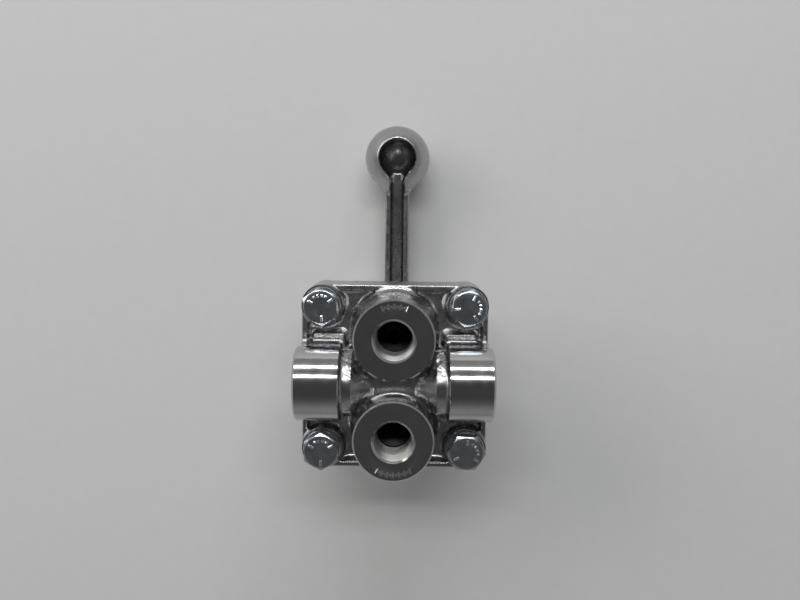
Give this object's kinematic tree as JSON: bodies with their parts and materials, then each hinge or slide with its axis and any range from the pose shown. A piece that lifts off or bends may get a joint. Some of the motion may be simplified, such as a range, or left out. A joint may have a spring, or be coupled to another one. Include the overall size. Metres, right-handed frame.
{
  "type": "four-way rotary hand valve",
  "caption": "Cast rotary directional valve with two ports on its face and one on each side, turned by a ball-ended hand lever.",
  "frame": {"origin": "on the stem's axis, at the outer face of the handle screw's head, which is flush with the lever's hub and is what the valve lies on", "axes": "+Z along the stem's axis, from the lever to the two face ports; +Y along the lever, from the hub to the knob; the side ports face +X and -X"},
  "size_m": [0.0628, 0.117, 0.0681],
  "materials": {
    "cast_aluminium": "die-cast and tumbled, port faces and collars machined bright",
    "zinc_plate": "clear zinc plate, faintly blue",
    "steel": "ground and lapped",
    "bronze": "sintered",
    "seal_rubber": "moulded nitrile",
    "bearing_plastic": "punched sheet"
  },
  "bodies": {
    "valve_body": {"port_body": "cast_aluminium", "cover": "cast_aluminium", "cover_seal_ring": "seal_rubber", "stem_bushing": "bronze", "thrust_washer": "bearing_plastic", "detent_spring": "steel", "lock_washer_1": "zinc_plate", "lock_washer_2": "zinc_plate", "lock_washer_3": "zinc_plate", "lock_washer_4": "zinc_plate", "cover_screw_1": "zinc_plate", "cover_screw_2": "zinc_plate", "cover_screw_3": "zinc_plate", "cover_screw_4": "zinc_plate"},
    "handle": {"lever": "cast_aluminium", "stem": "steel", "stem_seal_ring": "seal_rubber", "stop_pin": "steel", "rotor_disc": "steel", "rotor_spring": "steel", "handle_washer": "zinc_plate", "handle_lock_washer": "zinc_plate", "handle_screw": "zinc_plate"},
    "detent": {"detent_ball": "steel"}
  },
  "joints": [
    {"name": "handle_turn", "type": "hinge", "parent": "valve_body", "child": "handle", "pos_m": [0, 0, 0.014], "axis": [0, 0, 1], "range_deg": [-45, 45]},
    {"name": "detent_slide", "type": "slide", "parent": "valve_body", "child": "detent", "axis": [0, 0, 1], "range_m": [-0.0006, 0], "stiffness_N_per_m": 500, "springref_m": -0.0036, "deforming": ["detent_spring"]}
  ]
}
